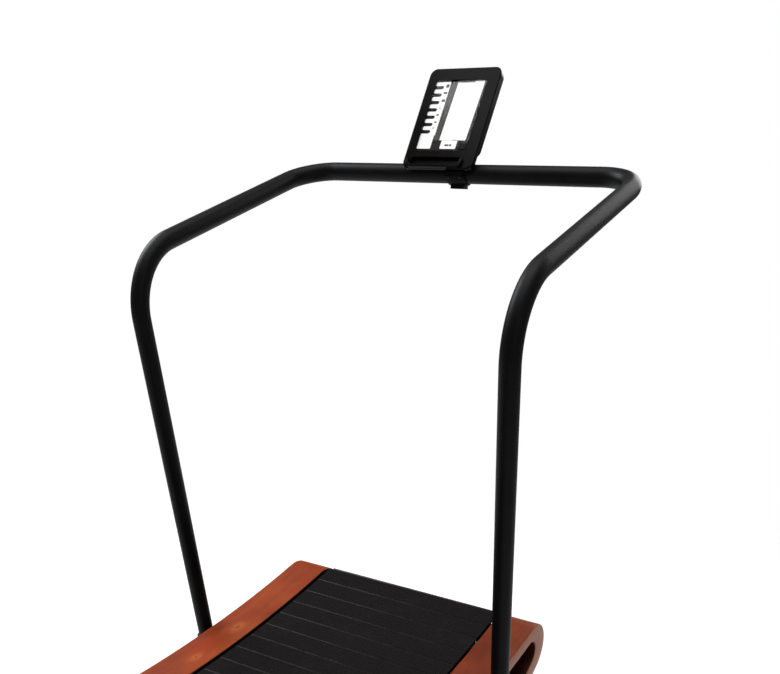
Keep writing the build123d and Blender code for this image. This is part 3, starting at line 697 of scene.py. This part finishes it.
# ------------------------------------------------------------------ treads
def tread_profile():
    """cross-section across the slat: (v, w) mm, ribbed top, rounded edges, on the bar"""
    top, edge = 12.0, 0.9
    pts = [(-27.2, 7.0), (-27.2, top - edge)]
    for i in range(1, 5):
        q = math.radians(90 * i / 4)
        pts.append((-27.2 + edge - edge * math.cos(q), top - edge + edge * math.sin(q)))
    centres = [-20.0, -12.0, -4.0, 4.0, 12.0, 20.0]
    for c in centres:
        pts += [(c - 1.3, top), (c - 0.9, top - 0.75), (c + 0.9, top - 0.75), (c + 1.3, top)]
    for i in range(0, 4):
        q = math.radians(90 - 90 * i / 4)
        pts.append((27.2 - edge + edge * math.cos(q), top - edge + edge * math.sin(q)))
    pts += [(27.2, top - edge), (27.2, 7.0)]
    return pts


TP = tread_profile()


def belt_frame(k):
    n1, n2, n3 = 26, 29, 56
    if k < n1:
        a = ALPHA - k * PITCH / R_PITCH
        y, z, n, g = R_PITCH * math.sin(a), CENTRE_Z - R_PITCH * math.cos(a), (-math.sin(a), math.cos(a)), "top"
    elif k < n2:
        th = math.pi / 2 - ALPHA + (k - n1) * PITCH / R_DRUM
        n = (math.cos(th), math.sin(th))
        y, z, g = -DRUM_Y + R_DRUM * n[0], DRUM_Z + R_DRUM * n[1], "rear"
    elif k < n3:
        a = -BETA + (k - n2) * PITCH / R_BOT
        n = (math.sin(a), -math.cos(a))
        y, z, g = R_BOT * math.sin(a), BOT_Z - R_BOT * math.cos(a), "bottom"
    else:
        th = -math.pi / 2 + BETA + (k - n3) * PITCH / R_DRUM
        n = (math.cos(th), math.sin(th))
        y, z, g = DRUM_Y + R_DRUM * n[0], DRUM_Z + R_DRUM * n[1], "front"
    # across-belt direction v = z_dir x x_dir in the y,z plane
    return g, (y, z), n, (n[1], -n[0])


LIP = [(-28.55, 6.4), (-28.55, 11.0), (-28.2, 11.45), (-27.6, 11.45), (-27.25, 11.2), (-27.25, 6.9),
       (27.25, 6.9), (27.25, 11.2), (27.6, 11.45), (28.2, 11.45), (28.55, 11.0), (28.55, 6.4)]
groups = {"top": ([], []), "rear": ([], []), "bottom": ([], []), "front": ([], [])}
lips = {"top": ([], []), "rear": ([], []), "bottom": ([], []), "front": ([], [])}
for k in range(59):
    g, (y0, z0), n, v = belt_frame(k)
    verts, faces = groups[g]
    base = len(verts)
    secs = [(-250.0, 0.7), (-249.3, 0.0), (249.3, 0.0), (250.0, 0.7)]
    for x, ins in secs:
        for (pv, pw) in TP:
            sv = pv * (1 - ins / 28.0)
            sw = 7.0 + (pw - 7.0) * (1 - ins / 5.0)
            verts.append(W(x, y0 + v[0] * sv + n[0] * sw, z0 + v[1] * sv + n[1] * sw))
    m = len(TP)
    for i in range(len(secs) - 1):
        for q in range(m):
            l = (q + 1) % m
            faces.append((base + i * m + q, base + i * m + l, base + (i + 1) * m + l, base + (i + 1) * m + q))
    lv, lf = lips[g]
    lb = len(lv)
    for x in (-249.0, 249.0):
        for (pv, pw) in LIP:
            lv.append(W(x, y0 + v[0] * pv + n[0] * pw, z0 + v[1] * pv + n[1] * pw))
    ml = len(LIP)
    for q in range(ml):
        l = (q + 1) % ml
        lf.append((lb + q, lb + l, lb + ml + l, lb + ml + q))
    lf.append(tuple(lb + q for q in range(ml)))
    lf.append(tuple(lb + ml + q for q in reversed(range(ml))))
    faces.append(tuple(base + q for q in range(m)))
    faces.append(tuple(base + (len(secs) - 1) * m + q for q in reversed(range(m))))
for g, (verts, faces) in groups.items():
    make("belt_treads_" + g, verts, faces, M_TREAD, "belt_" + g, ("slat_treads_" + g,), True, 28)


for g, (verts, faces) in lips.items():
    make("slat_edges_" + g, verts, faces, M_LIP_HIGHLIGHT, "belt_" + g, (), True, 28)


# ----------------------------------------------------------------- console
T = math.radians(31.5)
CO = W(-43.0, 879.0, 1305.0)
CX, CV, CN = Vector((1, 0, 0)), Vector((0, math.sin(T), math.cos(T))), Vector((0, -math.cos(T), math.sin(T)))


def C(x, v, w):
    return CO + (CX * x + CV * v + CN * w) * MM


def rounded(x0, x1, v0, v1, r, seg=5):
    out = []
    for cx, cv, a0 in ((x1 - r, v1 - r, 0), (x0 + r, v1 - r, 90), (x0 + r, v0 + r, 180), (x1 - r, v0 + r, 270)):
        for i in range(seg + 1):
            q = math.radians(a0 + 90 * i / seg)
            out.append((cx + r * math.cos(q), cv + r * math.sin(q)))
    return out


def slab(name, loops, w0, w1, mat, body="console", replaces=(), bev=0.0):
    verts, faces = [], []
    for pts in loops:
        b, m = len(verts), len(pts)
        verts += [C(x, v, w0) for x, v in pts] + [C(x, v, w1) for x, v in pts]
        faces.append(tuple(b + i for i in range(m)))
        faces.append(tuple(b + m + i for i in reversed(range(m))))
        for i in range(m):
            j = (i + 1) % m
            faces.append((b + i, b + j, b + m + j, b + m + i))
    o = make(name, verts, faces, mat, body, replaces, True, 30)
    if bev:
        bevel(o, bev)
    return o


WX0, WX1, WV0, WV1 = -65.0, 60.0, 27.5, 192.0
slab("lcd_base", [[(40, WV0 - 2.5), (40, 45), (WX1 + 3, 45), (WX1 + 3, WV1 + 2.5), (WX0 - 3, WV1 + 2.5), (WX0 - 3, WV0 - 2.5)]],
     -8.5, -4.0, M_DARK, replaces=("lcd_panel",))


def notched(x0, x1, v0, v1, cuts, h, depth):
    """a pale strip whose left edge is cut by round-ended notches"""
    pts = [(x1, v0), (x1, v1 - 1), (x1 - 1, v1), (x0 + 2.5, v1), (x0 + 0.7, v1 - 0.7), (x0, v1 - 2.5)]
    for n, c in enumerate(cuts):
        pts += [(x0, c + h + 2.2), (x0 + 0.9, c + h + 0.8), (x0 + 2.6, c + h), (x0 + depth - h, c + h)]
        for k in range(1, 6):
            q = math.radians(90 - 30 * k)
            pts.append((x0 + depth - h + h * math.cos(q), c + h * math.sin(q)))
        pts.append((x0 + depth - h, c - h))
        if n < len(cuts) - 1:
            pts += [(x0 + 2.6, c - h), (x0 + 0.9, c - h - 0.8), (x0, c - h - 2.2)]
    pts.append((x0 + depth - h, v0))
    return pts


# the fields lie 4 mm behind the face on whose plane they were measured
DX, DV = -2.6, 3.0


def seen(loops):
    return [[(x + DX, v + DV) for x, v in pts] for pts in loops]


CUTS = [174.0, 156.6, 139.0, 121.8, 104.6, 87.4, 70.6]
slab("lcd_fields", seen([
    notched(-62.5, -27.0, 62.0, 187.5, CUTS, 4.1, 21.0),
    rounded(-65.4, -29.0, WV0 + 3.5, 66.0, 2.0),
    [(-12.0, 50.5), (51.5, 50.5), (52.5, 52), (56.0, 186.5), (55.0, 188.0), (-8.0, 188.0), (-9.0, 187.0)],
]), -4.0, -3.75, M_WHITE)
slab("lcd_small_field", seen([rounded(-5.5, 33.5, WV0 + 3.2, 49.9, 2.0)]), -4.0, -3.76, M_WHITE)
# grey divider, grey upper edge and small unreadable marks
slab("lcd_divider", seen([[(-27.5, 50.5), (-14.2, 50.5), (-11.2, 187.0), (-23.5, 187.0)]]), -4.0, -3.85, M_GREY)
marks = [(-36.5, -29.0, 173.5, 181.5), (-38.0, -29.0, 158.5, 163.5), (-37.0, -28.5, 140.0, 146.0), (-39.0, -33.0, 107.0, 112.0),
         (-39.5, -32.5, 91.0, 94.5), (-38.0, -33.0, 124.5, 126.5), (-39.0, -34.0, 78.0, 80.0)]
slab("lcd_marks", seen([rounded(a, b, c, d, 1.0, 2) for a, b, c, d in marks[:3]]), -3.75, -3.55, M_MARK)
slab("lcd_light_marks", seen([rounded(a, b, c, d, 0.9, 2) for a, b, c, d in marks[3:]]), -3.75, -3.55, M_PALE)
slab("lcd_status", seen([rounded(5.0, 14.5, 37.0, 41.0, 0.8, 2), rounded(16.0, 21.5, 37.0, 41.0, 0.8, 2)]), -3.75, -3.55, M_MARK)
slab("lcd_edge", seen([rounded(20.0, 33.0, 50.0, 51.6, 0.5, 2), rounded(-8.0, 32.0, 184.6, 187.6, 0.6, 2)]), -3.75, -3.56, M_PALE)

# ------------------------------------------------------------------- stage
def floor():
    n, rings = 96, [0.0, 1.0, 2.0, 3.0, 4.5, 6.5, 9.0, 14.0]
    verts, faces = [(0, 0, 0)], []
    for r in rings[1:]:
        for k in range(n):
            q = 2 * math.pi * k / n
            verts.append((r * math.cos(q), r * math.sin(q), 0))
    for k in range(n):
        faces.append((0, 1 + k, 1 + (k + 1) % n))
    for i in range(len(rings) - 2):
        for k in range(n):
            a, b = 1 + i * n, 1 + (i + 1) * n
            faces.append((a + k, a + (k + 1) % n, b + (k + 1) % n, b + k))
    me = bpy.data.meshes.new("floor")
    me.from_pydata(verts, [], faces)
    me.update()
    o = bpy.data.objects.new("floor", me)
    bpy.context.scene.collection.objects.link(o)
    t = NT("pale_floor")
    v = t.coord()
    ns = t.noise(v, 3.0, 4, 0.6)
    c = t.ramp(ns, [(0.3, (0.80, 0.80, 0.80)), (0.7, (0.84, 0.84, 0.84))])
    t.set(c, 0.65, 0.0, None, 0.2)
    # far out the floor fades into the plain backdrop
    g = t.n("ShaderNodeTexCoord").outputs["Object"]
    ln = t.n("ShaderNodeVectorMath", operation="LENGTH")
    t.l(g, ln.inputs[0])
    mr = t.n("ShaderNodeMapRange")
    mr.inputs["From Min"].default_value, mr.inputs["From Max"].default_value = 1.25, 2.9
    mr.interpolation_type = "SMOOTHSTEP"
    t.l(ln.outputs["Value"], mr.inputs["Value"])
    em = t.n("ShaderNodeEmission")
    em.inputs["Color"].default_value = (1, 1, 1, 1)
    em.inputs["Strength"].default_value = 1.0
    lp = t.n("ShaderNodeLightPath")
    fac = t.math("MULTIPLY", mr.outputs["Result"], lp.outputs["Is Camera Ray"])
    mx = t.n("ShaderNodeMixShader")
    t.l(fac, mx.inputs[0])
    t.l(t.p.outputs[0], mx.inputs[1])
    t.l(em.outputs[0], mx.inputs[2])
    t.l(mx.outputs[0], t.out.inputs[0])
    me.materials.append(t.m)
    o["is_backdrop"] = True


floor()

sc = bpy.context.scene
world = bpy.data.worlds.new("studio")
sc.world = world
world.use_nodes = True
wt = world.node_tree
wt.nodes.clear()
wo = wt.nodes.new("ShaderNodeOutputWorld")
bg1, bg2 = wt.nodes.new("ShaderNodeBackground"), wt.nodes.new("ShaderNodeBackground")
lp = wt.nodes.new("ShaderNodeLightPath")
mx = wt.nodes.new("ShaderNodeMixShader")
bg1.inputs[0].default_value = (0.95, 0.97, 1.0, 1)
bg1.inputs[1].default_value = 0.22
bg2.inputs[0].default_value = (1, 1, 1, 1)
bg2.inputs[1].default_value = 1.0
wt.links.new(lp.outputs["Is Camera Ray"], mx.inputs[0])
wt.links.new(bg1.outputs[0], mx.inputs[1])
wt.links.new(bg2.outputs[0], mx.inputs[2])
wt.links.new(mx.outputs[0], wo.inputs[0])


def area(name, loc, target, size, power, col=(1, 1, 1)):
    l = bpy.data.lights.new(name, "AREA")
    l.shape, l.size, l.energy, l.color = "DISK", size, power, col
    o = bpy.data.objects.new(name, l)
    sc.collection.objects.link(o)
    o.location = loc
    o.rotation_euler = (Vector(target) - Vector(loc)).to_track_quat("-Z", "Y").to_euler()
    o.visible_camera = False
    return o


area("key", (-3.2, 0.6, 3.6), (0, 0.1, 0.6), 2.4, 170, (0.96, 0.98, 1.0))
area("fill", (3.6, -2.4, 2.6), (0, 0.1, 0.5), 2.6, 14, (1.0, 0.99, 0.97))
area("top", (0.0, 0.2, 4.6), (0, 0.1, 0.0), 4.0, 150)
area("back", (0.6, 4.2, 2.6), (0, 0.2, 0.7), 2.2, 70)

# ------------------------------------------------------------------ camera
cam = bpy.data.cameras.new("camera")
co = bpy.data.objects.new("camera", cam)
sc.collection.objects.link(co)
sc.camera = co
cam.sensor_width = 36.0
cam.lens = 861.5 * 36.0 / 780.0
yaw, pitch, roll = math.radians(29.88), math.radians(27.35), math.radians(2.31)
fwd = Vector((-math.sin(yaw) * math.cos(pitch), math.cos(yaw) * math.cos(pitch), -math.sin(pitch)))
right = Vector((math.cos(yaw), math.sin(yaw), 0))
up = right.cross(fwd)
r2 = right * math.cos(roll) + up * math.sin(roll)
u2 = -right * math.sin(roll) + up * math.cos(roll)
photo_pos = Vector((0.9885, -1.0373 + SY, 1.2197))
mw = Matrix((r2, u2, -fwd)).transposed().to_4x4()
mw.translation = photo_pos
co.matrix_world = mw
cam.clip_start, cam.clip_end = 0.01, 100
# the photograph's view is shifted up; other views are centred again
mark = bpy.data.objects.new("photo_view_point", None)
sc.collection.objects.link(mark)
mark.location = photo_pos
SHIFT = 313.0 / 780.0
fc = cam.driver_add("shift_y")
drv = fc.driver
drv.type = "SUM"
var = drv.variables.new()
var.type = "LOC_DIFF"
var.targets[0].id = co
var.targets[1].id = mark
while fc.modifiers:
    fc.modifiers.remove(fc.modifiers[0])
fc.keyframe_points.insert(0.0, SHIFT)
fc.keyframe_points.insert(0.05, 0.0)
for kp in fc.keyframe_points:
    kp.interpolation = "LINEAR"
fc.extrapolation = "CONSTANT"

sc.view_settings.view_transform = "Standard"
sc.view_settings.look = "None"
sc.view_settings.exposure = 0.0

lo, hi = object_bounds()
print("bounds cad", list(cad_lo), list(cad_hi), "visual", list(lo), list(hi))
